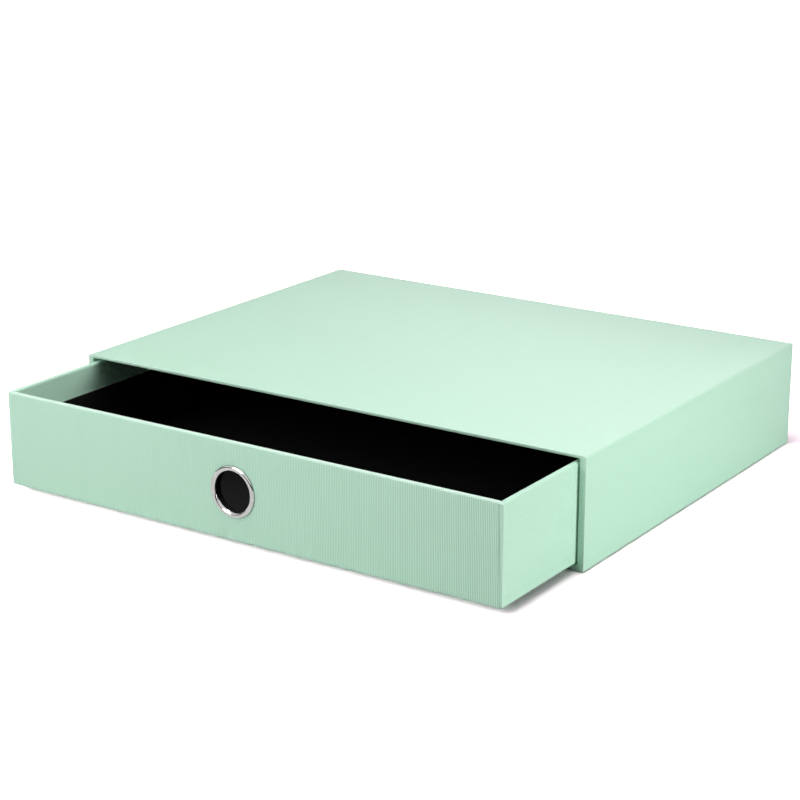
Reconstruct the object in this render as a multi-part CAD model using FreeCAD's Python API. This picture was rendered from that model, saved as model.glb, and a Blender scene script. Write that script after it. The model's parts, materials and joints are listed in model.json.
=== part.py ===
import FreeCAD, Part
import os

# A file box with one drawer, built as rigid stationery boxes are: greyboard panels taped
# into a casing and a tray, and both covered in ribbed paper that turns in over the edges.
# Millimetres, +Z up. The origin is the middle of the casing's underside, +X runs to the
# right along the front, +Y to the back, and the drawer comes out towards -Y.

# --- driving dimensions: the casing ---
case_width = 335.0  # outside, left to right
case_depth = 255.0  # outside, front to back, with the back sheet
case_height = 63.5  # outside, with the base sheet
tube_board = 1.0  # board of the outer tube and the back
liner_board = 2.2  # board of the U that doubles the floor and both sides
case_turn_in = 15.0  # cover folded in behind the front edges
back_turn_in = 12.0  # cover folded over the back board
sheet_inset = 3.0  # base sheet and back sheet stop this far inside the edges
lining_paper = 0.25  # dark lining of the casing

# --- driving dimensions: the drawer ---
tray_board = 2.4  # board of the drawer's floor and walls
tray_card = 0.4  # black card that lines the drawer
rim_turn_in = 18.0  # cover folded down inside the walls
rim_show = 16.0  # the part of it that the lining leaves bare
side_clearance = 0.8  # drawer to casing on each side
lift_clearance = 0.4  # under the drawer
top_clearance = 2.05  # over the drawer's rim
back_clearance = 1.5  # behind the closed drawer
pull_out = 72.5  # how far the drawer stands open

# --- driving dimensions: paper, tape and edges ---
cover_paper = 0.3  # ribbed cover paper
glue_line = 0.15  # tape and glue between a board and its cover
stay_paper = 0.1  # gummed tape that holds the board corners
stay_reach = 12.0  # how far the tape reaches on each board
edge_radius = 1.2  # outside radius of a covered edge
edge_share = 0.48  # no covered edge is rounder than this share of its wall

# --- driving dimensions: the finger ring ---
ring_width = 29.0  # over the front flange
ring_bore = 23.2  # clear hole for a finger
ring_sheet = 0.35  # metal of the ring
ring_offset = -2.5  # the hole's place from the middle of the front, left is negative
hole_clearance = 0.15  # round the barrel, in board, paper and washer
curl_radius = 0.8  # barrel end rolled over the washer
washer_width = 30.0
washer_sheet = 0.5

overshoot = 1.0  # cutting boxes run this far past an open side
same_place = 0.01  # two coordinates this close are the same


class Box:
    """A box given by its low and high end along each axis."""

    def __init__(self, x, y, z):
        self.x = x
        self.y = y
        self.z = z

    def grown(self, x=0.0, y=0.0, z=0.0):
        """The box with both ends of each axis moved out, or in when negative."""
        return Box(
            (self.x[0] - x, self.x[1] + x),
            (self.y[0] - y, self.y[1] + y),
            (self.z[0] - z, self.z[1] + z),
        )

    def inset(self, depth):
        """The box with all six sides moved in by one depth."""
        return self.grown(-depth, -depth, -depth)

    def solid(self, radius=0.0):
        """The solid, with all its edges rounded when a radius is given."""
        corner = FreeCAD.Vector(self.x[0], self.y[0], self.z[0])
        size = [high - low for low, high in (self.x, self.y, self.z)]
        shape = Part.makeBox(size[0], size[1], size[2], corner)
        return shape.makeFillet(radius, shape.Edges) if radius > 0.0 else shape


def covered_radius(wall):
    """Outside radius of a covered edge, limited by the wall that it goes round."""
    return min(edge_radius, edge_share * wall)


def is_lip(edge, mouth, axis, level):
    """Whether an edge lies in the open face and within the mouth's outline."""
    bounds = edge.BoundBox
    low = {"x": bounds.XMin, "y": bounds.YMin, "z": bounds.ZMin}
    high = {"x": bounds.XMax, "y": bounds.YMax, "z": bounds.ZMax}
    if abs(low[axis] - level) > same_place or abs(high[axis] - level) > same_place:
        return False
    ends = {"x": mouth.x, "y": mouth.y, "z": mouth.z}
    across = [name for name in ends if name != axis]
    above = all(low[name] > ends[name][0] - same_place for name in across)
    return above and all(high[name] < ends[name][1] + same_place for name in across)


def hollowed(block, mouth, axis, level, radius):
    """A rounded block with a hollow cut in from one side and the lip rounded too."""
    shape = block.solid(radius).cut(mouth.solid())
    lip = [edge for edge in shape.Edges if is_lip(edge, mouth, axis, level)]
    return shape.makeFillet(radius, lip)


def open_box(outside, inside):
    """A thin tray or sleeve: one box with another cut out of it."""
    return outside.solid().cut(inside.solid())


def corner_boxes(block, axes):
    """Four boxes along the corners of a block that run square to the two named axes."""
    boxes = []
    for first_end in (0, 1):
        for second_end in (0, 1):
            spans = {"x": block.x, "y": block.y, "z": block.z}
            for axis, end in zip(axes, (first_end, second_end)):
                edge = spans[axis][end]
                inward = stay_reach if end == 0 else -stay_reach
                outward = -stay_paper if end == 0 else stay_paper
                spans[axis] = tuple(sorted((edge + outward, edge + inward)))
            boxes.append(Box(spans["x"], spans["y"], spans["z"]))
    return boxes


def corner_stays(block, axes, radius):
    """Tape folded round four corners of a board block, as separate strips."""
    taped = block.inset(-stay_paper).solid(radius + stay_paper).cut(block.solid(radius))
    strips = [taped.common(box.solid()) for box in corner_boxes(block, axes)]
    return Part.makeCompound(strips)


def disc(radius, y_low, y_high, centre):
    """A cylinder along Y about the ring's centre."""
    start = FreeCAD.Vector(centre[0], y_low, centre[1])
    return Part.makeCylinder(radius, y_high - y_low, start, FreeCAD.Vector(0, 1, 0))


# --- the casing's spaces, from the outside in ---
wrap_depth = cover_paper + glue_line
case_front = -case_depth / 2
case_back = case_depth / 2
case_outline = Box(
    (-case_width / 2, case_width / 2),
    (case_front, case_back - cover_paper),
    (cover_paper, case_height),
)
case_block = case_outline.inset(wrap_depth)
case_cavity = Box(
    (case_block.x[0] + tube_board + liner_board, case_block.x[1] - tube_board - liner_board),
    (case_front - overshoot, case_block.y[1] - tube_board),
    (case_block.z[0] + tube_board + liner_board, case_block.z[1] - tube_board),
)
case_mouth = Box(
    (case_cavity.x[0] + cover_paper, case_cavity.x[1] - cover_paper),
    (case_front - overshoot, case_front + case_turn_in),
    (case_cavity.z[0] + cover_paper, case_cavity.z[1] - cover_paper),
)
case_radius = covered_radius(case_outline.z[1] - case_mouth.z[1])
lined_back = case_cavity.y[1] - lining_paper

# --- the drawer's spaces, hung from the casing's ---
tray_wall = wrap_depth + tray_board + cover_paper
tray_length = lined_back - back_clearance - case_front
tray_front = case_front - pull_out
tray_outline = Box(
    (case_mouth.x[0] + side_clearance, case_mouth.x[1] - side_clearance),
    (tray_front, tray_front + tray_length),
    (case_mouth.z[0] + lift_clearance, case_mouth.z[1] - top_clearance),
)
tray_block = tray_outline.inset(wrap_depth)
tray_floor = tray_block.z[0] + tray_board
tray_inside = tray_outline.grown(x=-tray_wall, y=-tray_wall)
tray_rim = tray_outline.z[1]
tray_mouth = Box(tray_inside.x, tray_inside.y, (tray_rim - rim_turn_in, tray_rim + overshoot))
tray_cavity = Box(
    (tray_inside.x[0] - cover_paper, tray_inside.x[1] + cover_paper),
    (tray_inside.y[0] - cover_paper, tray_inside.y[1] + cover_paper),
    (tray_floor, tray_rim + overshoot),
)
tray_radius = covered_radius(tray_wall)
tray_lining_box = Box(tray_inside.x, tray_inside.y, (tray_floor, tray_rim - rim_show))

# --- the finger ring's place, in the middle of the drawer's height ---
ring_centre = (ring_offset, (tray_outline.z[0] + tray_outline.z[1]) / 2)
barrel_radius = ring_bore / 2 + ring_sheet
hole_radius = barrel_radius + hole_clearance
washer_seat = tray_inside.y[0] + tray_card
washer_back = washer_seat + washer_sheet


def casing_boards():
    """The five boards of the outer tube, and the three of the U inside it."""
    radius = case_radius - wrap_depth
    shell = hollowed(case_block, case_cavity, "y", case_block.y[0], radius)
    x, y, z = case_block.x, case_block.y, case_block.z
    tube_x = (x[0] + tube_board, x[1] - tube_board)
    tube_z = (z[0] + tube_board, z[1] - tube_board)
    liner_y = (y[0], y[1] - tube_board)
    upright_z = (case_cavity.z[0], tube_z[1])
    boxes = {
        "casing_floor_board": Box(x, y, (z[0], tube_z[0])),
        "casing_top_board": Box(x, y, (tube_z[1], z[1])),
        "casing_left_board": Box((x[0], tube_x[0]), y, tube_z),
        "casing_right_board": Box((tube_x[1], x[1]), y, tube_z),
        "casing_back_board": Box(tube_x, (liner_y[1], y[1]), tube_z),
        "liner_floor_board": Box(tube_x, liner_y, (tube_z[0], upright_z[0])),
        "liner_left_board": Box((tube_x[0], case_cavity.x[0]), liner_y, upright_z),
        "liner_right_board": Box((case_cavity.x[1], tube_x[1]), liner_y, upright_z),
    }
    return {name: shell.common(box.solid()) for name, box in boxes.items()}


def casing_cover():
    """Ribbed paper round the tube, folded in at the front and over the back board."""
    outer = hollowed(case_outline, case_mouth, "y", case_outline.y[0], case_radius)
    core = case_outline.inset(cover_paper)
    fold = case_mouth.grown(x=cover_paper, z=cover_paper)
    inner = hollowed(core, fold, "y", core.y[0], case_radius - cover_paper)
    window = case_outline.grown(x=-back_turn_in, z=-back_turn_in)
    window.y = (core.y[1] - overshoot, case_outline.y[1] + overshoot)
    return outer.cut(inner).cut(window.solid())


def casing_base_sheet():
    """The sheet under the casing, which it stands on."""
    sheet = case_outline.grown(x=-sheet_inset, y=-sheet_inset)
    sheet.z = (0.0, cover_paper)
    return sheet.solid()


def casing_back_sheet():
    """The sheet that finishes the back over the folded paper."""
    sheet = case_outline.grown(x=-sheet_inset, z=-sheet_inset)
    sheet.y = (case_back - cover_paper, case_back)
    return sheet.solid()


def casing_lining():
    """Dark paper on the four walls and the back, from the turn-in inwards."""
    outside = Box(case_cavity.x, (case_mouth.y[1], case_cavity.y[1]), case_cavity.z)
    inside = outside.grown(x=-lining_paper, z=-lining_paper)
    inside.y = (case_mouth.y[1] - overshoot, lined_back)
    return open_box(outside, inside)


def tray_boards():
    """The drawer's floor board and the four walls that stand on it."""
    radius = tray_radius - wrap_depth
    shell = hollowed(tray_block, tray_cavity, "z", tray_block.z[1], radius)
    x, y, z = tray_block.x, tray_block.y, tray_block.z
    wall_z = (tray_floor, z[1])
    boxes = {
        "drawer_floor_board": Box(x, y, (z[0], tray_floor)),
        "drawer_front_board": Box(x, (y[0], tray_cavity.y[0]), wall_z),
        "drawer_back_board": Box(x, (tray_cavity.y[1], y[1]), wall_z),
        "drawer_left_board": Box((x[0], tray_cavity.x[0]), tray_cavity.y, wall_z),
        "drawer_right_board": Box((tray_cavity.x[1], x[1]), tray_cavity.y, wall_z),
    }
    boards = {name: shell.common(box.solid()) for name, box in boxes.items()}
    boards["drawer_front_board"] = boards["drawer_front_board"].cut(finger_hole())
    return boards


def finger_hole():
    """The cutter for the hole through the front's cover, board, lining and washer."""
    return disc(hole_radius, tray_front - overshoot, washer_back + overshoot, ring_centre)


def drawer_cover():
    """Ribbed paper under and round the drawer, over the rim and down inside it."""
    outer = hollowed(tray_outline, tray_mouth, "z", tray_rim, tray_radius)
    core = tray_outline.inset(cover_paper)
    fold = tray_mouth.grown(x=cover_paper, y=cover_paper)
    inner = hollowed(core, fold, "z", core.z[1], tray_radius - cover_paper)
    return outer.cut(inner).cut(finger_hole())


def drawer_lining():
    """Black card on the drawer's floor and walls, up to below the rim."""
    inside = tray_lining_box.grown(x=-tray_card, y=-tray_card)
    inside.z = (tray_floor + tray_card, tray_rim)
    return open_box(tray_lining_box, inside).cut(finger_hole())


def ring_arc(middle, radius, level, side):
    """Half a circle of the ring's section, bulging to the front (-1) or the back (+1)."""
    points = [(middle - radius, level), (middle, level + side * radius), (middle + radius, level)]
    vectors = [FreeCAD.Vector(ring_centre[0] + r, y, ring_centre[1]) for r, y in points]
    return Part.Arc(vectors[0], vectors[1], vectors[2]).toShape()


def ring_line(start, end):
    """A straight stretch of the ring's section, between two (radius, y) points."""
    vectors = [FreeCAD.Vector(ring_centre[0] + r, y, ring_centre[1]) for r, y in (start, end)]
    return Part.makeLine(vectors[0], vectors[1])


def finger_ring():
    """A drawn metal eyelet: rolled front flange, barrel, and the end curled at the back."""
    bore = ring_bore / 2
    flange = (ring_width / 2 - bore) / 2
    roll = bore + flange
    curl = bore + curl_radius
    section = [
        ring_line((roll + flange - ring_sheet, tray_front), (roll + flange, tray_front)),
        ring_arc(roll, flange, tray_front, -1),
        ring_line((bore, tray_front), (bore, washer_back)),
        ring_arc(curl, curl_radius, washer_back, 1),
        ring_line((curl + curl_radius, washer_back), (curl + curl_radius - ring_sheet, washer_back)),
        ring_arc(curl, curl_radius - ring_sheet, washer_back, 1),
        ring_line((barrel_radius, washer_back), (barrel_radius, tray_front)),
        ring_arc(roll, flange - ring_sheet, tray_front, -1),
    ]
    face = Part.Face(Part.Wire(section))
    centre = FreeCAD.Vector(ring_centre[0], 0, ring_centre[1])
    return face.revolve(centre, FreeCAD.Vector(0, 1, 0), 360)


def ring_washer():
    """The flat washer that the ring's end is curled over."""
    plate = disc(washer_width / 2, washer_seat, washer_back, ring_centre)
    return plate.cut(finger_hole())


parts = {}
parts.update(casing_boards())
parts["casing_cover"] = casing_cover()
parts["casing_base_sheet"] = casing_base_sheet()
parts["casing_back_sheet"] = casing_back_sheet()
parts["casing_lining"] = casing_lining()
parts["casing_corner_stays"] = corner_stays(case_block, ("x", "z"), case_radius - wrap_depth)
parts.update(tray_boards())
parts["drawer_cover"] = drawer_cover()
parts["drawer_lining"] = drawer_lining()
parts["drawer_corner_stays"] = corner_stays(tray_block, ("x", "y"), tray_radius - wrap_depth)
parts["finger_ring"] = finger_ring()
parts["ring_washer"] = ring_washer()

os.makedirs("parts", exist_ok=True)
for name, shape in parts.items():
    shape.exportStep(f"parts/{name}.step")
    print(f"{name}: {len(shape.Solids)} solid(s), {shape.Volume / 1000:.2f} cm3")
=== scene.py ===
# %% [markdown]
# # A file box with one drawer
# A flat stationery box: a casing of greyboard, open along one long side, and a shallow tray that
# slides out of it by a round metal ring. Both are wrapped in mint paper with fine embossed ribs.
# The imported CAD model gives the place and outer size of every piece. The rest is set here:
# the ribs, the folds at the corners, the ring's profile, the finishes, the light and the camera.

# %% Load the imported model
import json

import bpy
import numpy as np
from mathutils import Matrix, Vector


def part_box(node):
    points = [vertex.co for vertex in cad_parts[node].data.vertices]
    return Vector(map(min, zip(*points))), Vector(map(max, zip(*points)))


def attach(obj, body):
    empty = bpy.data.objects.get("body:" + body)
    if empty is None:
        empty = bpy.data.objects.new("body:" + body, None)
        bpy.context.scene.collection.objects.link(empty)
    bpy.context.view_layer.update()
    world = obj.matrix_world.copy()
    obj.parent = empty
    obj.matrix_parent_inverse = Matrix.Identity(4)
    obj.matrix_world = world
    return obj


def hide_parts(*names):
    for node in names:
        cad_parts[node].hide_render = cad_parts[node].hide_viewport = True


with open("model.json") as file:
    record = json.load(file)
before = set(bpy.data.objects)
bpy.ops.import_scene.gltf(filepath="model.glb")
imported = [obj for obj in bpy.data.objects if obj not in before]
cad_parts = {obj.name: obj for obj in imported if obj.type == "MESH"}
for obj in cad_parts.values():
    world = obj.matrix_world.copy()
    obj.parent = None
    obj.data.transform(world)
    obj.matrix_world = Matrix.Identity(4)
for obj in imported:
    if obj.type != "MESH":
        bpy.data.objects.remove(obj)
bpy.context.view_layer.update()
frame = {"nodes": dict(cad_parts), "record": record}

MM = 0.001

# %% [markdown]
# ## From arrays to a mesh
# Every new piece is a sheet or a turned ring, and each is a grid of points: one index runs round
# the section of the sheet, the other along its length. A section that closes on itself, front
# side, cut edge and back side, makes a shell with real thickness. Points that fall on each other,
# as where two strips of paper meet at a mitre, are welded, and faces that lose their area go.


# %% Grids, welding and the mesh itself
WELD = 1e-7


def grid_faces(rows, columns, closed_rows=False, closed_columns=False):
    """Quads of a grid whose point (i, j) has the number i * columns + j."""
    i = np.arange(rows if closed_rows else rows - 1)[:, None]
    j = np.arange(columns if closed_columns else columns - 1)[None, :]
    below, right = (i + 1) % rows, (j + 1) % columns
    corners = [i * columns + j, i * columns + right, below * columns + right, below * columns + j]
    return np.stack([np.broadcast_to(c, (i.size, j.size)) for c in corners], axis=-1).reshape(-1, 4)


def join_grids(parts):
    """One array of points and one of quads from several (points, quads) pairs."""
    starts = np.cumsum([0] + [len(points) for points, _ in parts[:-1]])
    points = np.concatenate([points for points, _ in parts])
    quads = np.concatenate([quads + start for (_, quads), start in zip(parts, starts)])
    return points, quads


def weld(points, quads):
    """Points closer than WELD become one. A quad with two equal corners becomes a triangle. Also
    returns the old number of each point that stays."""
    keys = np.round(points / WELD).astype(np.int64)
    _, first, number = np.unique(keys, axis=0, return_index=True, return_inverse=True)
    quads = number.reshape(-1)[quads]
    same = quads == np.roll(quads, -1, axis=1)
    whole = quads[~same.any(axis=1)]
    once = same.sum(axis=1) == 1
    corner = np.argmax(same[once], axis=1)[:, None]
    order = (corner + np.array([[1, 2, 3]])) % 4
    triangles = np.take_along_axis(quads[once], order, axis=1)
    return points[first], whole, triangles, first


def signed_volume(points, quads, triangles):
    """Sum of a . (b x c) / 6 over triangles: above zero when the faces of a shell point out."""
    fans = [quads[:, [0, 1, 2]], quads[:, [0, 2, 3]], triangles]
    a, b, c = (points[np.concatenate(fans)][:, k] for k in range(3))
    return np.einsum("ij,ij->", a, np.cross(b, c)) / 6


def make_piece(
    name, points, quads, body, material, stands_for, ridge=1.0, painted_highlight=0.0, sharp=50, caps=()
):
    """Welds the grid, turns its faces outwards and puts it into a mesh that rides on a body. Each
    point carries two values for the material: ridge, and the strength of a painted highlight.
    caps are outlines of flat ends, and edges bent by more than sharp degrees stay sharp."""
    values = np.stack([ridge + np.zeros(len(points)), painted_highlight + np.zeros(len(points))])
    keys = np.round(points / WELD).astype(np.int64)
    _, number = np.unique(keys, axis=0, return_inverse=True)
    ends = [number.reshape(-1)[cap] for cap in caps]
    points, quads, triangles, first = weld(points, quads)
    faces = quads.tolist() + triangles.tolist() + [end.tolist() for end in ends]
    if signed_volume(points, quads, triangles) < 0:
        faces = [face[::-1] for face in faces]
    mesh = bpy.data.meshes.new(name)
    mesh.from_pydata(points, [], faces)
    mesh.validate()
    for attribute, value in zip(("ridge", "painted_highlight"), values[:, first]):
        mesh.attributes.new(attribute, "FLOAT", "POINT").data.foreach_set("value", value)
    mesh.polygons.foreach_set("use_smooth", np.ones(len(mesh.polygons), dtype=bool))
    mesh.set_sharp_from_angle(angle=np.radians(sharp))
    mesh.materials.append(material)
    piece = bpy.data.objects.new(name, mesh)
    bpy.context.scene.collection.objects.link(piece)
    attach(piece, body)
    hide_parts(*stands_for)
    print(f"{name}: {len(mesh.vertices)} points, {len(mesh.polygons)} faces")
    return piece


# %% [markdown]
# ## A small kit for node materials
# Paper, board and metal all start from a Principled shader. What makes them look real is small:
# cloudy tone, short fibres and a fine bump. A few helpers keep each recipe to a handful of lines.
# Patterns read Object coordinates, in metres, so they have the same grain on every piece.


# %% Node helpers
def new_material(name, **settings):
    """A material with a Principled shader whose sockets are set from the settings."""
    material = bpy.data.materials.new(name)
    material.use_nodes = True
    nodes = material.node_tree.nodes
    shader = nodes["Principled BSDF"]
    for socket, value in settings.items():
        shader.inputs[socket.replace("_", " ")].default_value = value
    return material, nodes, material.node_tree.links, shader


def object_noise(nodes, links, scale, detail=2.0, stretch=(1.0, 1.0, 1.0), roughness=0.5):
    """Noise on Object coordinates, drawn out along the axes whose stretch is below 1."""
    where = nodes.new("ShaderNodeTexCoord")
    mapping = nodes.new("ShaderNodeMapping")
    mapping.inputs["Scale"].default_value = stretch
    noise = nodes.new("ShaderNodeTexNoise")
    noise.inputs["Scale"].default_value = scale
    noise.inputs["Detail"].default_value = detail
    noise.inputs["Roughness"].default_value = roughness
    links.new(where.outputs["Object"], mapping.inputs["Vector"])
    links.new(mapping.outputs["Vector"], noise.inputs["Vector"])
    return noise.outputs["Fac"]


def spread(nodes, links, value, low, high, out_low=0.0, out_high=1.0):
    """Maps the range low to high of a value onto another range."""
    node = nodes.new("ShaderNodeMapRange")
    node.inputs["From Min"].default_value = low
    node.inputs["From Max"].default_value = high
    node.inputs["To Min"].default_value = out_low
    node.inputs["To Max"].default_value = out_high
    links.new(value, node.inputs["Value"])
    return node.outputs["Result"]


def blend_colours(nodes, links, factor, first, second, kind="MIX"):
    """Mixes two colours, each a tuple or another node's output."""
    node = nodes.new("ShaderNodeMix")
    node.data_type = "RGBA"
    node.blend_type = kind
    links.new(factor, node.inputs["Factor"])
    for socket, colour in ((node.inputs["A"], first), (node.inputs["B"], second)):
        if isinstance(colour, tuple):
            socket.default_value = (*colour, 1.0)
        else:
            links.new(colour, socket)
    return node.outputs["Result"]


def add_bump(nodes, links, shader, height, distance, strength):
    """Fine relief from a height, in metres, on top of the real shape."""
    bump = nodes.new("ShaderNodeBump")
    bump.inputs["Distance"].default_value = distance
    bump.inputs["Strength"].default_value = strength
    links.new(height, bump.inputs["Height"])
    links.new(bump.outputs["Normal"], shader.inputs["Normal"])


# %% [markdown]
# ## The ribbed paper
# The cover is a dyed, embossed paper. Its ribs are real relief on the mesh, and the mesh also
# carries a value called ridge, about 1 on the crest of a rib and 0 in the furrow, and further
# apart where the ribs are crisp. The furrows are also coloured darker than the crests, by about a
# fifth on plain ribs and by up to half where they are crisp. That contrast is painted shade, and
# makes the ribs read where the light is flat. Pressing leaves the crests a little smoother. Cloudy
# tone and a fine tooth of fibres cover the rest. Where the paper goes over an edge it is painted
# paler, as a painted highlight: a second value says how much.


# %% Mint paper
# The two ends of the painted rib shade: darker towards the furrows, lighter towards the crests.
MINT_CREST_LIGHT = (0.690, 0.990, 0.806)
MINT_FURROW_SHADE = (0.300, 0.525, 0.392)
RIDGE_RANGE = (-1.0, 2.0)


def ribbed_paper():
    """Mint paper: painted rib shade from the ridge value, cloudiness from slow noise, tooth from
    fast noise, and a paler painted highlight where the second value is above 0."""
    material, nodes, links, shader = new_material("mint_ribbed_paper", Roughness=0.5)
    shader.inputs["Specular IOR Level"].default_value = 0.5
    ridge = nodes.new("ShaderNodeAttribute")
    ridge.attribute_name = "ridge"
    # Painted rib shade: furrows darker and crests lighter, by the ridge value.
    tone = spread(nodes, links, ridge.outputs["Fac"], *RIDGE_RANGE)
    colour = blend_colours(nodes, links, tone, MINT_FURROW_SHADE, MINT_CREST_LIGHT)
    cloud = spread(nodes, links, object_noise(nodes, links, 18, 3), 0.35, 0.65, 0.0, 0.10)
    colour = blend_colours(nodes, links, cloud, colour, (0.47, 0.76, 0.60))
    tooth = object_noise(nodes, links, 2600, 3, roughness=0.7)
    fleck = spread(nodes, links, tooth, 0.6, 0.8, 0.0, 0.12)
    colour = blend_colours(nodes, links, fleck, colour, (0.72, 0.93, 0.81))
    # Painted highlight: paler over the rims and the lip's outer edge.
    painted_highlight = nodes.new("ShaderNodeAttribute")
    painted_highlight.attribute_name = "painted_highlight"
    pale = spread(nodes, links, painted_highlight.outputs["Fac"], 0.0, 1.0, 0.0, 0.55)
    colour = blend_colours(nodes, links, pale, colour, (0.80, 0.95, 0.88))
    links.new(colour, shader.inputs["Base Color"])
    roughness = spread(nodes, links, ridge.outputs["Fac"], 0.0, 1.0, 0.62, 0.44)
    links.new(roughness, shader.inputs["Roughness"])
    add_bump(nodes, links, shader, tooth, 0.00004, 0.35)
    return material


mint = ribbed_paper()
print("material:", mint.name)

# %% [markdown]
# ## Board, linings, tape and metal
# The greyboard is pulped waste paper with darker and lighter flecks. The linings are black paper
# and black card. The card is coloured on its faces only, so its cut top edge stays pale. The tape
# is brown gummed kraft. The ring and its washer are plated steel, bright, with faint wear.


# %% Greyboard
def greyboard():
    """Grey pulp with flecks: two noises mixed, one for tone and one for the flecks."""
    material, nodes, links, shader = new_material("greyboard", Roughness=0.9)
    tone = spread(nodes, links, object_noise(nodes, links, 120, 4), 0.3, 0.7)
    colour = blend_colours(nodes, links, tone, (0.30, 0.28, 0.25), (0.42, 0.40, 0.36))
    fleck = spread(nodes, links, object_noise(nodes, links, 900, 3, (1.0, 0.3, 1.0)), 0.62, 0.72)
    colour = blend_colours(nodes, links, fleck, colour, (0.16, 0.15, 0.13))
    links.new(colour, shader.inputs["Base Color"])
    add_bump(nodes, links, shader, tone, 0.00005, 0.5)
    return material


board = greyboard()
print("material:", board.name)


# %% Black paper and black card
def black_paper(name, base, lift, edge_from=None):
    """Black stock with a soft mottle. Where edge_from is given, faces that look up from above
    that height show the pale core of the card."""
    material, nodes, links, shader = new_material(name, Roughness=0.85)
    shader.inputs["Specular IOR Level"].default_value = 0.15
    mottle = spread(nodes, links, object_noise(nodes, links, 260, 4), 0.35, 0.7)
    colour = blend_colours(nodes, links, mottle, base, lift)
    if edge_from is not None:
        place = nodes.new("ShaderNodeSeparateXYZ")
        where = nodes.new("ShaderNodeTexCoord")
        links.new(where.outputs["Object"], place.inputs["Vector"])
        high = spread(nodes, links, place.outputs["Z"], edge_from, edge_from + 0.05 * MM)
        colour = blend_colours(nodes, links, high, colour, (0.42, 0.46, 0.43))
    links.new(colour, shader.inputs["Base Color"])
    add_bump(nodes, links, shader, object_noise(nodes, links, 3000, 2), 0.00003, 0.4)
    return material


card_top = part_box("drawer_lining")[1][2]
casing_black = black_paper("black_lining_paper", (0.006, 0.006, 0.007), (0.012, 0.012, 0.013))
drawer_black = black_paper(
    "black_card", (0.003, 0.003, 0.003), (0.006, 0.006, 0.006), edge_from=card_top - 0.1 * MM
)
print("materials:", casing_black.name, drawer_black.name)


# %% Gummed tape
def gummed_tape():
    """Brown kraft: long fibres from noise drawn out along Y."""
    material, nodes, links, shader = new_material("gummed_tape", Roughness=0.55)
    fibre = spread(nodes, links, object_noise(nodes, links, 1500, 3, (1.0, 0.08, 1.0)), 0.35, 0.7)
    colour = blend_colours(nodes, links, fibre, (0.33, 0.20, 0.10), (0.50, 0.34, 0.19))
    links.new(colour, shader.inputs["Base Color"])
    add_bump(nodes, links, shader, fibre, 0.00002, 0.4)
    return material


tape = gummed_tape()
print("material:", tape.name)


# %% Plated metal
def plated_metal():
    """Bright plate: nearly a mirror, with cloudy wear in its roughness and hairline scratches.
    Where the ridge value is 0 it is painted black and dull: painted shade."""
    material, nodes, links, shader = new_material("bright_plate", Metallic=1.0, Roughness=0.1)
    wear = object_noise(nodes, links, 350, 3)
    tone = spread(nodes, links, wear, 0.3, 0.7)
    colour = blend_colours(nodes, links, tone, (0.62, 0.61, 0.60), (0.68, 0.67, 0.66))
    # Painted shade: black where the ridge value is 0, inside the ring's hole and round its foot.
    plate_unshaded = nodes.new("ShaderNodeAttribute")
    plate_unshaded.attribute_name = "ridge"
    colour = blend_colours(nodes, links, plate_unshaded.outputs["Fac"], (0.004, 0.004, 0.004), colour)
    links.new(colour, shader.inputs["Base Color"])
    dull = nodes.new("ShaderNodeMath")
    dull.operation = "ADD"
    links.new(spread(nodes, links, wear, 0.3, 0.7, 0.07, 0.16), dull.inputs[0])
    links.new(spread(nodes, links, plate_unshaded.outputs["Fac"], 0.0, 1.0, 0.7, 0.0), dull.inputs[1])
    links.new(dull.outputs["Value"], shader.inputs["Roughness"])
    scratch = object_noise(nodes, links, 4000, 2, (1.0, 0.05, 1.0))
    add_bump(nodes, links, shader, scratch, 0.000004, 0.3)
    return material


plate = plated_metal()
print("material:", plate.name)

# %% [markdown]
# ## The CAD pieces that keep their shape
# The boards, the dark linings and the tape are flat stock with square edges, and the CAD solids
# already are exactly that. They only need their finish.

# %% Finish the carried-over pieces
finishes = {
    "greyboard": board,
    "dark_paper": casing_black,
    "dark_card": drawer_black,
    "gummed_tape": tape,
}
for row in frame["record"]["subparts"]:
    if row["material_slot"] in finishes:
        for place in frame["nodes"][row["node"]].material_slots:
            place.material = finishes[row["material_slot"]]

# %% [markdown]
# ## Ribs as a formula
# A rib is one period of a cosine. The paper never rises above its crests, so the relief is a drop
# below the surface: half the depth times one minus the cosine. A seeded random share makes some
# ribs fainter than others, as a worn embossing roller does. Near the end of a strip the relief
# fades out, so that two strips meet cleanly in a corner.

# %% The ribs
RIB_PITCH = 1.0 * MM
RIB_DEPTH = 0.2 * MM
RIB_SEED = 7
RIB_SHARES = 800
UNEVEN = 0.85
FADE = 0.6 * MM
SAMPLES = 4
PAPER = 0.25 * MM


def whole_ribs(length):
    """The rib pitch nearest to RIB_PITCH that puts an even number of ribs on a length."""
    return length / (2 * round(length / RIB_PITCH / 2))


def rib_strength(across, pitch):
    """How deep a rib is pressed: a seeded random share for each, with straight lines between."""
    shares = np.random.default_rng(RIB_SEED).uniform(UNEVEN, 1.0, RIB_SHARES)
    return np.interp(across / pitch + RIB_SHARES / 2, np.arange(RIB_SHARES), shares)


def rib_drop(across, pitch):
    """strength * depth / 2 * (1 - cos(2 pi s / pitch)): 0 on a crest, the depth in a furrow."""
    return rib_strength(across, pitch) * RIB_DEPTH / 2 * (1 - np.cos(2 * np.pi * across / pitch))


def rib_ridge(across, pitch, crispness=1.0):
    """1 on a crest and down to 1 - strength in the furrow beside it; the paper paints its rib shade
    from this. crispness 2 puts the two twice as far from 0.5."""
    ridge = 1 - rib_strength(across, pitch) * (0.5 - 0.5 * np.cos(2 * np.pi * across / pitch))
    return 0.5 + crispness * (ridge - 0.5)


def fade_in(distance):
    """0 at an end, 1 from FADE onwards, smooth between."""
    t = np.clip(distance / FADE, 0.0, 1.0)
    return t * t * (3 - 2 * t)


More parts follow.
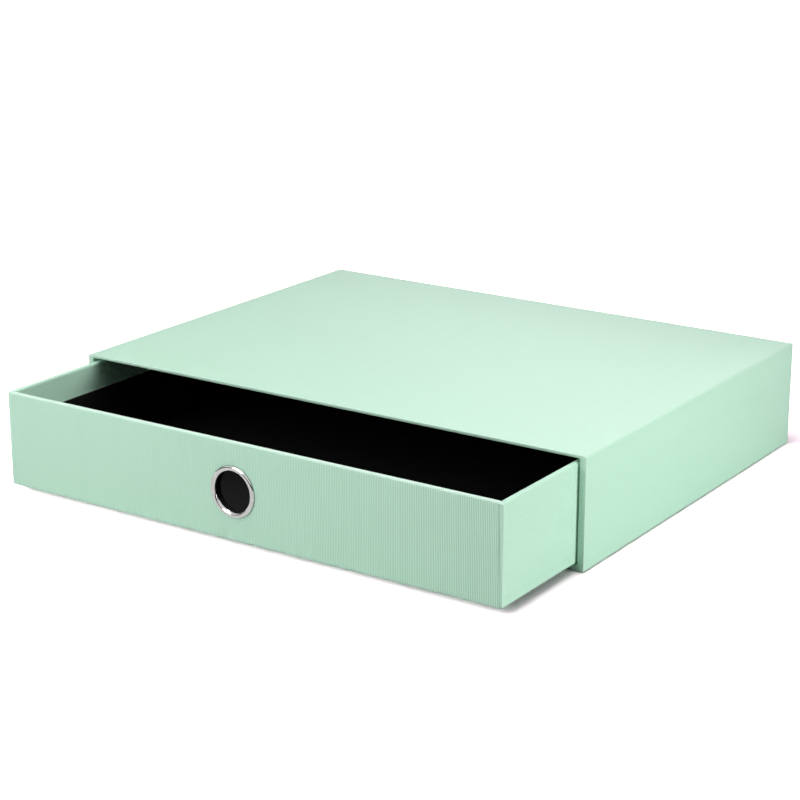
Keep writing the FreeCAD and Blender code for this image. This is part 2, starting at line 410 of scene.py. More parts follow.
def lip_arc(steps, squareness):
    """Half a superellipse across a wall: |2u - 1|^k + rise^k = 1. u runs from 1, the inner side
    of the wall, to 0, the outer side, and rise from 0 to 1 and back."""
    angle = np.linspace(0.0, np.pi, steps)
    across = np.cos(angle)
    u = 0.5 + 0.5 * np.sign(across) * np.abs(across) ** (2 / squareness)
    return u, np.sin(angle).clip(0.0) ** (2 / squareness)


def path_normals(out, along):
    """Unit normals of a closed path of points (out, along), on the left of its direction."""
    step_out = np.roll(out, -1) - np.roll(out, 1)
    step_along = np.roll(along, -1) - np.roll(along, 1)
    size = np.hypot(step_out, step_along).clip(1e-9)
    return step_along / size, -step_out / size


print(f"ribs: pitch {RIB_PITCH / MM} mm, depth {RIB_DEPTH / MM} mm, {SAMPLES} points each")

# %% [markdown]
# ## The casing's paper
# One sheet goes round the casing like a sleeve. At the mouth it turns over the board's edge and
# 15 mm inside, and at the back it folds 12 mm over the back board. So its section, from inside
# the mouth to the back, is carried round a rectangle with small rounded corners, and at the mouth
# that rectangle shrinks from the outside of the wall to the inside. The top wall is thinner than
# the others, so the mitre at a front corner isn't at 45 degrees. The ribs run front to back and
# go over the lip with the paper, where their painted shade is made stronger and its outer edge
# carries a painted highlight.


# %% A section carried round a rectangle
def strip_round(c, half_along, half_out, radius):
    """One side of a rounded rectangle, from mid-corner to mid-corner, for c from -1 to 1.
    Returns the distance along the side, the distance out, and the normal's two parts."""
    straight = half_along - radius
    length = 2 * straight + np.pi / 2 * radius
    s = c * length / 2
    bend = np.clip(np.abs(s) - straight, 0.0, None) / radius
    along = np.clip(s, -straight, straight) + np.sign(s) * radius * np.sin(bend)
    out = half_out - radius + radius * np.cos(bend)
    return s, length, along, out, np.sign(s) * np.sin(bend), np.cos(bend)


SIDES = {"top": (0, 1), "right": (1, 0), "floor": (0, -1), "left": (-1, 0)}


def sleeve_strip(side, rows, columns):
    """The part of the casing's paper on one side: points (x, y, z), quads, ridge and the strength
    of the painted highlight.
    """
    out_x, out_z = SIDES[side]
    half_x, half_z = rows["half_x"][:, None], rows["half_z"][:, None]
    half_along, half_out = (half_x, half_z) if out_z else (half_z, half_x)
    c = np.linspace(-1.0, 1.0, columns)[None, :]
    radius = rows["radius"][:, None]
    s, length, along, out, n_along, n_out = strip_round(c, half_along, half_out, radius)
    pitch = whole_ribs(length.max())
    drop = rib_drop(s, pitch) * fade_in(length / 2 - np.abs(s)) * rows["ribbed"][:, None]
    push = -drop * rows["n_out"][:, None]
    along, out = along + push * n_along, out + push * n_out
    x = along * out_z + out * out_x
    z = rows["mid_z"][:, None] - along * out_x + out * out_z
    y = rows["y"][:, None] - drop * rows["n_y"][:, None]
    points = np.stack([x, y + 0 * x, z], axis=-1).reshape(-1, 3)
    quads = grid_faces(len(rows["y"]), columns, closed_rows=True)
    ridge = rib_ridge(s, pitch, rows["crisp"][:, None]) + 0 * x
    painted_highlight = rows["painted_highlight"][:, None] + 0 * x
    return points, quads, ridge.reshape(-1), painted_highlight.reshape(-1)


# %% The section of the casing's paper
cover_low, cover_high = (np.array(corner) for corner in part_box("casing_cover"))
tube_low = np.array(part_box("casing_lining")[0])
tube_high = np.array(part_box("casing_lining")[1])
LINING_OVERLAP = 0.3 * MM
CASING_ROUND = 1.3 * MM
MOUTH_ROUND = 0.35 * MM
LIP_RISE = 0.7 * MM
LIP_SQUARENESS = 4.5
# How much stronger the painted rib shade is over the lip.
LIP_RIB_SHADE = 3.0
SMALLEST_ROUND = 0.2 * MM
BACK_ROUND = 0.9 * MM
BACK_FOLD = 12.0 * MM

side_wall = tube_low[0] - cover_low[0] + LINING_OVERLAP
floor_wall = tube_low[2] - cover_low[2] + LINING_OVERLAP
top_wall = cover_high[2] - tube_high[2] + LINING_OVERLAP
turn_in = tube_low[1] - cover_low[1]
print(f"walls: side {side_wall / MM:.2f}, floor {floor_wall / MM:.2f}, top {top_wall / MM:.2f} mm")


def casing_section():
    """Rows of the closed section: turned in, over the lip, along, over the back, and back again
    one paper thickness further in. u is the way through the wall and inset an extra step in."""
    front, back = cover_low[1], cover_high[1]
    lip_u, rise = lip_arc(13, LIP_SQUARENESS)
    turn = np.linspace(0.0, np.pi / 2, 6)
    face = [
        ([1.0, 1.0], [0.0, 0.0], [front + turn_in, front + turn_in / 2]),
        (lip_u, 0 * lip_u, front + LIP_RISE * (1 - rise)),
        ([0.0, 0.0], [0.0, 0.0], [front / 3, back / 3]),
        (0 * turn, BACK_ROUND * (1 - np.cos(turn)), back - BACK_ROUND * (1 - np.sin(turn))),
        ([0.0], [BACK_FOLD], [back]),
    ]
    hidden = [
        ([0.0, 0.0], [BACK_FOLD, BACK_ROUND], [back - PAPER, back - PAPER]),
        ([0.0, 0.0], [PAPER, PAPER], [back - BACK_ROUND, front + LIP_RISE]),
        ([0.5], [0.0], [front + PAPER]),
        ([1.0, 1.0], [-PAPER, -PAPER], [front + LIP_RISE, front + turn_in]),
    ]
    u, inset, y = (np.concatenate([part[k] for part in face + hidden]) for k in range(3))
    ribbed = np.arange(len(u)) < sum(len(part[0]) for part in face)
    lip = slice(len(face[0][0]), len(face[0][0]) + len(lip_u))
    painted_highlight, crisp = np.zeros(len(u)), np.ones(len(u))
    # Painted highlight along the lip's outer edge.
    painted_highlight[lip] = rise**2 * (1 - lip_u) ** 3
    # Stronger painted rib shade over the lip.
    crisp[lip] += LIP_RIB_SHADE * rise**2
    low_z = cover_low[2] + floor_wall * u + inset
    high_z = cover_high[2] - top_wall * u - inset
    n_y, n_out = path_normals(y, -(side_wall * u + inset))
    corner = CASING_ROUND * (1 - u) + MOUTH_ROUND * u - inset * (1 - u)
    return {
        "y": y,
        "half_x": cover_high[0] - side_wall * u - inset,
        "half_z": (high_z - low_z) / 2,
        "mid_z": (high_z + low_z) / 2,
        "radius": corner.clip(SMALLEST_ROUND),
        "ribbed": ribbed.astype(float),
        "painted_highlight": painted_highlight,
        "crisp": crisp,
        "n_out": -n_out,
        "n_y": -n_y,
    }


# %% Wrap the casing
def wrap_casing():
    """Four strips, one for each side, that meet in the corners and are welded into one sleeve."""
    rows = casing_section()
    strips = []
    for side, (out_x, _) in SIDES.items():
        half = rows["half_z"].max() if out_x else rows["half_x"].max()
        length = 2 * (half - CASING_ROUND) + np.pi / 2 * CASING_ROUND
        columns = SAMPLES * round(length / whole_ribs(length)) + 1
        strips.append(sleeve_strip(side, rows, columns))
    points, quads = join_grids([strip[:2] for strip in strips])
    ridge, painted_highlight = (np.concatenate([strip[k] for strip in strips]) for k in (2, 3))
    return make_piece(
        "casing_paper", points, quads, "casing", mint, ["casing_cover"],
        ridge, painted_highlight,
    )


casing_paper = wrap_casing()

# %% [markdown]
# ## Flat sheets on the casing
# A sheet under the casing hides the ends of the sleeve, and one on the back hides the folds. Each
# is a thin slab whose outer face is ribbed: a closed section of four corners, carried along X.


# %% A section carried along X
def long_sheet(section, half_width, pitch, samples, crispness=(1.0, 1.0)):
    """A closed section of rows (y, z), carried along X. A row ends at its own half_width, but its
    points are at the same x as in every other row, so that a rib stays straight. Rows marked as
    ribbed drop into the sheet between the crests. crispness is that of the left and right ends:
    it sets the strength of the painted rib shade, and below 1 also the depth of the relief."""
    reach = half_width.max()
    columns = samples * 2 * round(reach / pitch) + 1
    limit = half_width[:, None]
    x = np.clip(np.linspace(-reach, reach, columns)[None, :], -limit, limit)
    left, right = crispness
    crisp = left + (right - left) * (0.5 + 0.5 * x / reach) ** 1.5
    drop = rib_drop(x, pitch) * np.minimum(crisp, 1.0) * fade_in(limit - np.abs(x))
    drop = drop * section["ribbed"][:, None]
    y = section["y"][:, None] - drop * section["n_y"][:, None]
    z = section["z"][:, None] - drop * section["n_z"][:, None]
    ridge = rib_ridge(x, pitch, crisp)
    rows = len(section["y"])
    points = np.stack([x, y, z], axis=-1).reshape(-1, 3)
    ends = [np.arange(rows) * columns, np.arange(rows)[::-1] * columns + columns - 1]
    return points, grid_faces(rows, columns, closed_rows=True), ridge.reshape(-1), ends


def slab(node, ribbed_normal):
    """The four-cornered section of a thin sheet, ribbed on the face that looks along a normal."""
    low, high = (np.array(corner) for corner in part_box(node))
    n_y, n_z = ribbed_normal
    y = np.array([low[1], high[1], high[1], low[1]])
    z = np.array([low[2], low[2], high[2], high[2]])
    middle = (low + high) / 2
    outer = ((y - middle[1]) * n_y + (z - middle[2]) * n_z) > 0
    section = {"y": y, "z": z, "ribbed": outer.astype(float)}
    section |= {"n_y": np.full(4, n_y), "n_z": np.full(4, n_z)}
    return section, np.full(4, high[0])


# %% Base sheet and back sheet
for piece_name, node, normal in (
    ("base_paper", "casing_base_sheet", (0.0, -1.0)),
    ("back_paper", "casing_back_sheet", (1.0, 0.0)),
):
    section, half_width = slab(node, normal)
    points, quads, ridge, ends = long_sheet(section, half_width, RIB_PITCH, SAMPLES)
    make_piece(piece_name, points, quads, "casing", mint, [node], ridge, caps=ends)

# %% [markdown]
# ## The drawer's paper, front to back
# The drawer's sheet is cut as a cross. Its long arm comes up from inside the front wall, goes over
# the rim, down the front, under the floor and up the back the same way. Its ribs run along it, so
# they stand upright on the front, a little further apart than the casing's. Their relief is
# shallower and their painted shade fainter at the left end, and the painted shade grows stronger
# towards the right, as light from one side shows them: a real sheet is embossed evenly. It stops
# a little short of the drawer's corners, and there the side flap shows under it. The hole for the
# finger ring is two rows that part: inside the hole one row follows its lower half and the other
# its upper half, and beside it both lie on one line.

# %% Sizes of the drawer and its ring
tray_low, tray_high = (np.array(corner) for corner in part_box("drawer_cover"))
card_low, card_high = (np.array(corner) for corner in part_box("drawer_lining"))
ring_low, ring_high = (np.array(corner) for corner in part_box("finger_ring"))
washer_low, washer_high = (np.array(corner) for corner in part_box("ring_washer"))
ring_middle = (ring_low + ring_high) / 2

TRAY_RIB = 1.03 * MM
TRAY_ROUND = 1.2 * MM
TRAY_CORNER = 0.55 * MM
RIM_RISE = 1.25 * MM
RIM_SQUARENESS = 2.4
TUCK = 2.0 * MM
HOLE = 12.1 * MM
FLAP_SHORT_TOP = 2.7 * MM
FLAP_SHORT_BOTTOM = 1.2 * MM
FLAP_GAP = 0.02 * MM
# Painted rib shade, faint at the long arm's left end and strong at its right, and on the sides.
FRONT_RIB_SHADE_AND_DEPTH = (0.4, 2.8)
SIDE_RIB_SHADE = 1.8

tray_wall = card_low[0] - tray_low[0]
turn_end = card_high[2] - TUCK
print(f"drawer: {2 * tray_high[0] / MM:.1f} mm wide, wall {tray_wall / MM:.2f} mm")
print(f"ring: at x {ring_middle[0] / MM:.2f} mm, z {ring_middle[2] / MM:.2f} mm")


# %% The section of the long arm
def rim_rows(outside, inwards, top):
    """Rows over a rim from the inner side of the wall to the outer one. inwards is +1 at the
    front wall, where inside is towards +Y, and -1 at the back."""
    u, rise = lip_arc(11, RIM_SQUARENESS)
    return outside + inwards * tray_wall * u, top - RIM_RISE * (1 - rise)


def fold_rows(outside, inwards, low):
    """Rows round the bottom edge, a quarter circle from the wall to the floor."""
    turn = np.linspace(0.0, np.pi / 2, 6)
    y = outside + inwards * TRAY_ROUND * (1 - np.cos(turn))
    return y, low + TRAY_ROUND * (1 - np.sin(turn))


def long_arm_section():
    """Rows of the closed section and half its width at each row."""
    front, back, low, top = tray_low[1], tray_high[1], tray_low[2], tray_high[2]
    middle = ring_middle[2]
    pieces = [
        ([front + tray_wall], [turn_end]),
        rim_rows(front, 1, top),
        ([front, front], [middle, middle]),
        fold_rows(front, 1, low),
        tuple(rows[::-1] for rows in fold_rows(back, -1, low)),
        tuple(rows[::-1] for rows in rim_rows(back, -1, top)),
        ([back - tray_wall], [turn_end]),
    ]
    face = sum(len(rows[0]) for rows in pieces)
    under, inner = PAPER, tray_wall - PAPER
    pieces += [
        ([back - inner] * 2, [turn_end, top - RIM_RISE]),
        ([back - tray_wall / 2], [top - under]),
        ([back - under, back - under], [top - RIM_RISE, low + TRAY_ROUND]),
        ([back - TRAY_ROUND, front + TRAY_ROUND], [low + under, low + under]),
        ([front + under] * 4, [low + TRAY_ROUND, middle, middle, top - RIM_RISE]),
        ([front + tray_wall / 2], [top - under]),
        ([front + inner] * 2, [top - RIM_RISE, turn_end]),
    ]
    y, z = (np.concatenate([rows[k] for rows in pieces]) for k in range(2))
    n_z, n_y = path_normals(z, y)
    ribbed = (np.arange(len(y)) < face).astype(float)
    return {"y": y, "z": z, "ribbed": ribbed, "n_y": n_y, "n_z": n_z}, face


section, face_rows = long_arm_section()
print("rows:", len(section["y"]), "of which ribbed:", face_rows)


# %% Its width, row by row
def long_arm_width(section):
    """Half the width: full under the floor, a little less up the front, and at the inside of the
    wall just the width between the side walls."""
    outside = tray_high[0]
    up = np.clip((section["z"] - tray_low[2]) / (tray_high[2] - tray_low[2]), 0.0, 1.0)
    from_end = np.minimum(section["y"] - tray_low[1], tray_high[1] - section["y"])
    wall = from_end.clip(0.0, tray_wall) / tray_wall
    on_wall = outside - (FLAP_SHORT_BOTTOM + (FLAP_SHORT_TOP - FLAP_SHORT_BOTTOM) * up)
    inside = outside - tray_wall - FLAP_GAP
    width = on_wall * (1 - wall) + inside * wall
    under_floor = section["z"] < tray_low[2] + TRAY_ROUND / 2
    return np.where(under_floor, outside - TRAY_ROUND, width)


half_width = long_arm_width(section)
print(f"half width from {half_width.min() / MM:.1f} to {half_width.max() / MM:.1f} mm")


# %% Cut the hole and make the long arm
def wrap_long_arm():
    """The long arm, with the finger hole opened between its two middle rows."""
    points, quads, ridge, ends = long_sheet(section, half_width, TRAY_RIB, 6, FRONT_RIB_SHADE_AND_DEPTH)
    rows = len(section["y"])
    grid = points.reshape(rows, -1, 3)
    columns = grid.shape[1]
    at_middle = np.flatnonzero(np.isclose(section["z"], ring_middle[2]))
    upper, lower, back_lower, back_upper = at_middle
    reach = np.sqrt((HOLE**2 - (grid[upper, :, 0] - ring_middle[0]) ** 2).clip(0.0))
    for row, way in ((upper, 1), (lower, -1), (back_lower, -1), (back_upper, 1)):
        grid[row, :, 0] = grid[upper, :, 0]
        grid[row, :, 2] = ring_middle[2] + way * reach
    for row in (0, rows - 1):
        off_ring = grid[row, :, 0] - ring_middle[0]
        arc = ring_middle[2] + np.sqrt((HOLE**2 - off_ring**2).clip(0.0))
        grid[row, :, 2] = np.where(np.abs(off_ring) < HOLE, np.maximum(arc, turn_end), turn_end)
    row_of = quads[:, 0] // columns
    quads = quads[(row_of != upper) & (row_of != back_lower)]
    inside = np.flatnonzero(reach > 0)
    span = np.arange(inside[0] - 1, inside[-1] + 1)
    walls = []
    for a, b in ((upper, back_upper), (back_lower, lower)):
        near, far = a * columns + span, b * columns + span
        walls.append(np.stack([near, far, far + 1, near + 1], axis=1))
    quads = np.concatenate([quads, *walls])
    closed = [close_cap(end, at_middle, columns) for end in ends]
    # Painted highlight over the front and back rims.
    on_rim = ((section["z"] - tray_high[2]) / RIM_RISE + 1).clip(0.0) * section["ribbed"]
    painted_highlight = np.repeat(on_rim, columns)
    return make_piece(
        "drawer_paper_long", grid.reshape(-1, 3), quads, "drawer", mint,
        ["drawer_cover"], ridge, painted_highlight, caps=closed,
    )


def close_cap(end, at_middle, columns):
    """The end's outline without the second of each pair of rows that lie on each other there."""
    row_of = end // columns
    return end[~np.isin(row_of, at_middle[[1, 3]])]


drawer_paper_long = wrap_long_arm()

# %% [markdown]
# ## The drawer's paper, left and right
# The short arms of the cross fold up the sides, go over the rim and down inside. Their ends turn
# round the upright corners and lie under the long arm, a paper's thickness deeper, which leaves a
# small notch in the rim at each corner. The ribs run level along the side. So the section has
# many rows, six to a rib, and few columns.

# %% The section of a side arm
FLAP_TUCK = 8.0 * MM
SMALLEST_TUCK = 0.1 * MM
UNDER_FLAP = 0.25 * MM


def spaced_path(out, up, spacing):
    """The same path with points at equal distances along it, close to the spacing."""
    gone = np.concatenate([[0.0], np.cumsum(np.hypot(np.diff(out), np.diff(up)))])
    stations = np.linspace(0.0, gone[-1], round(gone[-1] / spacing) + 1)
    return np.interp(stations, gone, out), np.interp(stations, gone, up), stations


def side_section():
    """Rows (inset from the outer side, height): the fold, the wall, the rim and the turn-in."""
    low, top = tray_low[2], tray_high[2]
    turn = np.linspace(np.pi / 2, 0.0, 12)
    fold = TRAY_ROUND * (1 - np.cos(turn)), low + TRAY_ROUND * (1 - np.sin(turn))
    u, rise = lip_arc(25, RIM_SQUARENESS)
    rim = tray_wall * u[::-1], top - RIM_RISE * (1 - rise[::-1])
    inset = np.concatenate([fold[0], rim[0], [tray_wall]])
    height = np.concatenate([fold[1], rim[1], [turn_end]])
    inset, height, gone = spaced_path(inset, height, TRAY_RIB / 6)
    inner = tray_wall - PAPER
    hidden_inset = [inner, inner, tray_wall / 2, PAPER, PAPER, TRAY_ROUND]
    hidden_height = [turn_end, top - RIM_RISE, top - PAPER]
    hidden_height += [top - RIM_RISE, low + TRAY_ROUND, low + PAPER]
    all_inset = np.concatenate([inset, hidden_inset])
    all_height = np.concatenate([height, hidden_height])
    n_up, n_out = path_normals(all_height, -all_inset)
    drop = np.zeros(len(all_inset))
    drop[: len(gone)] = rib_drop(gone, TRAY_RIB) * fade_in(gone) * fade_in(gone[-1] - gone)
    ridge = np.zeros(len(all_inset))
    ridge[: len(gone)] = rib_ridge(gone, TRAY_RIB, SIDE_RIB_SHADE)
    return all_inset, all_height, drop * n_out, -drop * n_up, ridge


inset, height, drop_in, drop_down, ridge_rows = side_section()
print("rows of a side arm:", len(inset))


# %% Along a side arm
PRESSED = 0.05
BY_CORNER = np.array([0.0, 0.5, 1.0, 1.5, 2.0, 2.5, 3.0, 4.0]) * MM
side_length = tray_high[1] - tray_low[1]
near_corner = BY_CORNER / side_length
side_run = np.concatenate([near_corner, np.linspace(0.1, 0.9, 5), 1 - near_corner[::-1]])
tuck_steps, turn_steps = 4, 7
pressed_end = np.full(tuck_steps + turn_steps, PRESSED)
ribbed_columns = np.concatenate([pressed_end, np.ones(len(side_run)), pressed_end])
print("columns of a side arm:", len(ribbed_columns))


# %% Wrap the sides
def side_arm(name, sign):
    """The section, carried along the front tuck, round a corner, along the side, round the other
    corner and along the back tuck. sign is +1 on the right and -1 on the left. Where the long arm
    lies on it, and round the corners, its ribs are pressed nearly flat."""
    u = (inset / tray_wall).clip(0.0, 1.0)[:, None]
    under = UNDER_FLAP * (1 - u) + (tray_wall - FLAP_GAP) * u
    radius = TRAY_CORNER * (1 - u) + SMALLEST_ROUND * u
    tuck = FLAP_TUCK * (1 - u) + SMALLEST_TUCK
    away = np.linspace(1.0, 0.0, tuck_steps)[None, :]
    turn = np.linspace(0.0, np.pi / 2, turn_steps + 2)[None, 1:-1]
    corner_x = tray_high[0] - inset[:, None] - radius
    front_end, back_end = tray_low[1] + under + radius, tray_high[1] - under - radius
    lead_x = [corner_x - tuck * away, corner_x + radius * np.sin(turn)]
    trail_x = [part[:, ::-1] for part in lead_x[::-1]]
    x = np.concatenate([*lead_x, corner_x + radius + 0 * side_run, *trail_x], axis=1)
    x = x - drop_in[:, None] * (ribbed_columns == 1)
    y = [front_end - radius + 0 * away, front_end - radius * np.cos(turn)]
    y += [front_end + (back_end - front_end) * side_run]
    y += [back_end + radius * np.sin(turn), back_end + radius + 0 * away]
    y = np.concatenate(y, axis=1)
    z = height[:, None] + drop_down[:, None] * ribbed_columns + 0 * x
    near_end = np.minimum(y - tray_low[1], tray_high[1] - y)
    over_wall = fade_in((near_end - tray_wall + 0.4 * MM).clip(0.0))
    rim_share = fade_in((z - tray_high[2] + 2 * RIM_RISE).clip(0.0) * FADE / (2 * RIM_RISE))
    z = z - (1 - over_wall) * UNDER_FLAP * rim_share
    rows, columns = x.shape
    points = np.stack([sign * x, y, z], axis=-1).reshape(-1, 3)
    ridge = (1 - (1 - ridge_rows[:, None]) * ribbed_columns).reshape(-1)
    ends = [np.arange(rows) * columns, np.arange(rows)[::-1] * columns + columns - 1]
    quads = grid_faces(rows, columns, closed_rows=True)
    return make_piece(
        name, points, quads, "drawer", mint, ["drawer_cover"], ridge, caps=ends
    )


drawer_paper_right = side_arm("drawer_paper_right", 1)
drawer_paper_left = side_arm("drawer_paper_left", -1)

# %% [markdown]
# ## The finger ring and its washer
# The ring is an eyelet, spun from thin sheet: a domed flange in front, a short barrel, and an end
# that is rolled over the washer behind. The washer is a plain punched disc. Both are turned
# shapes: a closed profile of (radius, y) carried round the ring's axis.


# %% Turned shapes
def turned(name, radius, y, stands_for, plate_unshaded=1.0, steps=192):
    """Each profile point (r, y) becomes a circle of radius r about the ring's axis. A share of 1
    leaves the plate bright, and 0 paints it black as painted shade."""
    angle = np.linspace(0.0, 2 * np.pi, steps, endpoint=False)[None, :]
    x = ring_middle[0] + radius[:, None] * np.cos(angle)
    z = ring_middle[2] + radius[:, None] * np.sin(angle)
    points = np.stack([x, y[:, None] + 0 * x, z], axis=-1).reshape(-1, 3)
    quads = grid_faces(len(radius), steps, closed_rows=True, closed_columns=True)
    plate_unshaded = np.repeat(plate_unshaded + 0 * radius, steps)
    return make_piece(
        name, points, quads, "drawer", plate, stands_for, plate_unshaded, sharp=40
    )


BORE = 11.6 * MM
RING_SHEET = 0.35 * MM
CURL = 0.8 * MM
DOME_SQUARENESS = 2.2
FOOT = 0.2 * MM
BRIGHT_TO = 0.25 * MM
BRIGHT_BAND = 0.02 * MM


def ring_profile():
    """Foot, dome, barrel and curl, then the same a sheet's thickness inside. The foot is a little
    narrower than the dome, with a painted shadow round it where it meets the paper, and the
    barrel and the start of the curl are painted black from BRIGHT_TO behind the paper, as
    painted shade inside the hole."""
    outer = (ring_high[0] - ring_low[0]) / 2
    seat, front = tray_low[1], ring_low[1]
    half = (outer - BORE) / 2
    mid, back = BORE + half, ring_high[1] - CURL
    u, rise = lip_arc(25, DOME_SQUARENESS)
    foot = ([outer - FOOT], [seat])
    dome = (mid + half * (2 * u - 1), seat - FOOT - (seat - FOOT - front) * rise)
    painted_dark_from = seat + BRIGHT_TO
    barrel = ([BORE] * 3, [painted_dark_from, painted_dark_from + BRIGHT_BAND, back - BRIGHT_BAND])
    roll = np.linspace(np.pi, 0.0, 13)
    around = (BORE + CURL + CURL * np.cos(roll), back + CURL * np.sin(roll))
    inner_roll = roll[::-1]
    inside = CURL - RING_SHEET
    around_in = (BORE + CURL + inside * np.cos(inner_roll), back + inside * np.sin(inner_roll))
    shrink = (half - RING_SHEET) / half
    dome_in = (mid + half * shrink * (1 - 2 * u), seat - (seat - front) * shrink * rise)
    parts = [foot, dome, barrel, around, around_in, dome_in]
    radius, y = (np.concatenate([part[k] for part in parts]) for k in range(2))
    plate_unshaded = np.ones(len(radius))
    # Painted shadow round the foot, and painted shade on the barrel and the start of the curl.
    plate_unshaded[:4] = 0.0, 0.0, 0.3, 0.8
    plate_unshaded[len(u) + 2 : len(u) + 8] = 0.0
    return radius, y, plate_unshaded


ring_radius, ring_y, ring_unshaded = ring_profile()
ring = turned("finger_ring_polished", ring_radius, ring_y, ["finger_ring"], ring_unshaded)

# %% The washer
EASE = 0.1 * MM
washer_outer = (washer_high[0] - washer_low[0]) / 2
flat_in, flat_out = HOLE + EASE, washer_outer - EASE
y_low, y_high = washer_low[1], washer_high[1]
washer_radius = np.array(
    [HOLE, HOLE, flat_in, flat_out, washer_outer, washer_outer, flat_out, flat_in]
)
washer_y = np.array(
    [y_low + EASE, y_high - EASE, y_high, y_high, y_high - EASE, y_low + EASE, y_low, y_low]
)
washer = turned("ring_washer_plate", washer_radius, washer_y, ["ring_washer"], steps=128)

# %% [markdown]
# ## Floor, light and camera
# The box stands on a plain white floor. The floor shows white to the camera but keeps the soft
# shadows. Five softboxes light the box: one high above, one in front on the left, a near and a far
# one on the right, which are linked to skip the floor, and one far behind, which only adds the
# sheen on the top.


# %% The floor
FLOOR_WHITE = (0.88, 0.86, 0.87)
FLOOR_SEEN = (3.7, 2.87, 3.3)
FLOOR_HALF = 6.0
LIFT_FROM = (-0.05, -0.15, 0.0)
NEAR, FAR = 0.27, 1.2
FAR_LIFT = 1.1


def white_floor():
    """A white sheet under the box. The camera sees it whiter than the lamps leave it, as
    FLOOR_SEEN, with less green against the green light that the box throws on it. Further than
    NEAR from LIFT_FROM, a glow that grows up to FAR_LIFT makes up for lamps that don't reach
    there, and shows in the metal too."""
    material, nodes, links, shader = new_material("white_floor", Roughness=0.9)
    shader.inputs["Specular IOR Level"].default_value = 0.0
    shader.inputs["Emission Color"].default_value = (1.0, 1.0, 1.0, 1.0)
    path = nodes.new("ShaderNodeLightPath")
    shown = nodes.new("ShaderNodeMath")
    shown.operation = "MAXIMUM"
    links.new(path.outputs["Is Glossy Ray"], shown.inputs[0])
    links.new(path.outputs["Is Transmission Ray"], shown.inputs[1])
    seen = nodes.new("ShaderNodeMath")
    seen.operation = "MAXIMUM"
    links.new(path.outputs["Is Camera Ray"], seen.inputs[0])
    links.new(shown.outputs["Value"], seen.inputs[1])
    colour = blend_colours(nodes, links, path.outputs["Is Camera Ray"], FLOOR_WHITE, FLOOR_SEEN)
    links.new(colour, shader.inputs["Base Color"])
    where = nodes.new("ShaderNodeTexCoord")
    distance = nodes.new("ShaderNodeVectorMath")
    distance.operation = "DISTANCE"
    distance.inputs[1].default_value = LIFT_FROM
    links.new(where.outputs["Object"], distance.inputs[0])
    lift = spread(nodes, links, distance.outputs["Value"], NEAR, FAR, 0.0, FAR_LIFT)
    strength = nodes.new("ShaderNodeMath")
    strength.operation = "MULTIPLY"
    links.new(seen.outputs["Value"], strength.inputs[0])
    links.new(lift, strength.inputs[1])
    links.new(strength.outputs["Value"], shader.inputs["Emission Strength"])
    mesh = bpy.data.meshes.new("floor")
    square = ((-1, -1), (1, -1), (1, 1), (-1, 1))
    corners = [(x * FLOOR_HALF, y * FLOOR_HALF, 0.0) for x, y in square]
    mesh.from_pydata(corners, [], [(0, 1, 2, 3)])
    mesh.materials.append(material)
    floor = bpy.data.objects.new("floor", mesh)
    bpy.context.scene.collection.objects.link(floor)
    return floor


floor = white_floor()
print("floor:", floor.name)


# %% The lamps
def softbox(name, place, aim, size, power, keeps_off=None):
    """A rectangular area lamp that looks from a place to a point. keeps_off says what it leaves
    out: "floor" for a lamp that is linked to skip the floor, "tone" for one that only adds
    sheen."""
    light = bpy.data.lights.new(name, "AREA")
    light.shape = "RECTANGLE"
    light.size, light.size_y = size
    light.energy = power
    lamp = bpy.data.objects.new(name, light)
    lamp.visible_camera = False
    bpy.context.scene.collection.objects.link(lamp)
    way = np.array(aim) - np.array(place)
    across = np.cross(way, (0.0, 0.0, 1.0))
    across /= np.linalg.norm(across)
    up = np.cross(across, way)
    up /= np.linalg.norm(up)
    axes = np.stack([across, up, -way / np.linalg.norm(way)], axis=1)
    lamp.matrix_world = Matrix.Translation(place) @ Matrix(axes.tolist()).to_4x4()
    if keeps_off == "floor":
        kept_dark = bpy.data.collections.new("kept_off_" + name)
        kept_dark.objects.link(floor)
        lamp.light_linking.receiver_collection = kept_dark
        kept_dark.collection_objects[0].light_linking.link_state = "EXCLUDE"
    if keeps_off == "tone":
        lamp.visible_diffuse = False
    return lamp


LAMPS = {
    "softbox_over": ((-0.1, -0.26, 1.0), (0.0, 0.0, 0.03), (0.7, 0.7), 6.25),
    "softbox_front": ((-0.3, -0.93, 0.5), (-0.05, -0.2, 0.03), (0.4, 0.4), 3.9),
    "softbox_side": ((0.62, -0.06, 0.2), (0.17, -0.1, 0.03), (0.12, 0.2), 1.4, "floor"),
    "softbox_far_side": ((2.3, 0.3, 0.45), (0.17, -0.05, 0.03), (0.5, 0.4), 12.2, "floor"),
    "softbox_sheen": ((-0.6, 2.0, 1.5), (0.1, 0.0, 0.06), (0.8, 0.8), 25.0, "tone"),
}
for lamp_name, lamp_values in LAMPS.items():
    softbox(lamp_name, *lamp_values)
print("lamps:", ", ".join(LAMPS))


# %% The sky
SKY_FILL = 0.1
HORIZON = (0.32, 0.5)
WALLS = 0.06


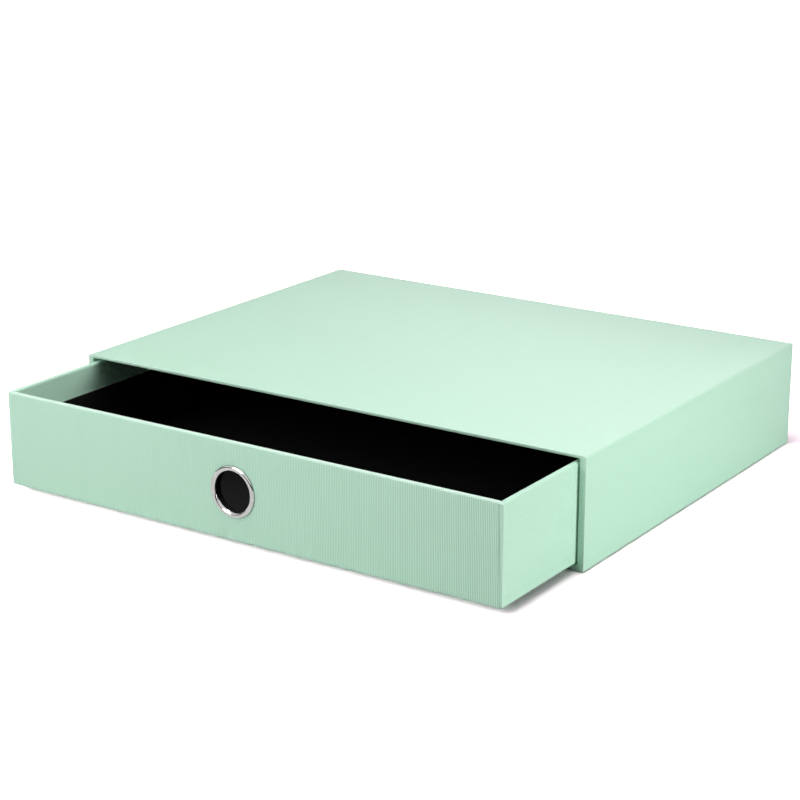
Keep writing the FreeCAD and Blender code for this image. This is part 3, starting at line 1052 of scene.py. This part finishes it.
def white_sky():
    """A world that fills the shadows with weak light and shows white to the camera. In the metal
    it is white above and darkens towards the horizon, as a studio's ceiling and walls do."""
    world = bpy.data.worlds.new("studio")
    bpy.context.scene.world = world
    world.use_nodes = True
    nodes, links = world.node_tree.nodes, world.node_tree.links
    sky = nodes["Background"]
    sky.inputs["Color"].default_value = (1.0, 1.0, 1.0, 1.0)
    path = nodes.new("ShaderNodeLightPath")
    where = nodes.new("ShaderNodeTexCoord")
    place = nodes.new("ShaderNodeSeparateXYZ")
    links.new(where.outputs["Generated"], place.inputs["Vector"])
    mirrored = spread(nodes, links, place.outputs["Z"], *HORIZON, WALLS, 1.0)
    seen = nodes.new("ShaderNodeMath")
    seen.operation = "MAXIMUM"
    links.new(path.outputs["Is Glossy Ray"], seen.inputs[0])
    links.new(path.outputs["Is Transmission Ray"], seen.inputs[1])
    level = nodes.new("ShaderNodeMix")
    level.inputs["A"].default_value = SKY_FILL
    links.new(seen.outputs["Value"], level.inputs["Factor"])
    links.new(mirrored, level.inputs["B"])
    white = nodes.new("ShaderNodeMath")
    white.operation = "MAXIMUM"
    links.new(path.outputs["Is Camera Ray"], white.inputs[0])
    links.new(level.outputs["Result"], white.inputs[1])
    links.new(white.outputs["Value"], sky.inputs["Strength"])
    return world


world = white_sky()
print("world:", world.name)

# %% [markdown]
# ## The camera
# It looks down at the box from its right front corner, with a long lens, from a bit over a metre.

# %% Set the camera
FOCAL_PIXELS = 2096.7
IMAGE_PIXELS = 800
camera_yaw, camera_pitch = np.radians(33.973), np.radians(17.343)
camera_place = (0.6483, -1.0092, 0.4058)

camera_data = bpy.data.cameras.new("camera")
camera = bpy.data.objects.new("camera", camera_data)
bpy.context.scene.collection.objects.link(camera)
camera_data.sensor_width = 36.0
camera_data.lens = camera_data.sensor_width * FOCAL_PIXELS / IMAGE_PIXELS
camera.rotation_euler = (np.pi / 2 - camera_pitch, 0.0, camera_yaw)
camera.location = camera_place
bpy.context.scene.camera = camera
bpy.context.scene.view_settings.view_transform = "Standard"
print(f"lens: {camera_data.lens:.1f} mm")
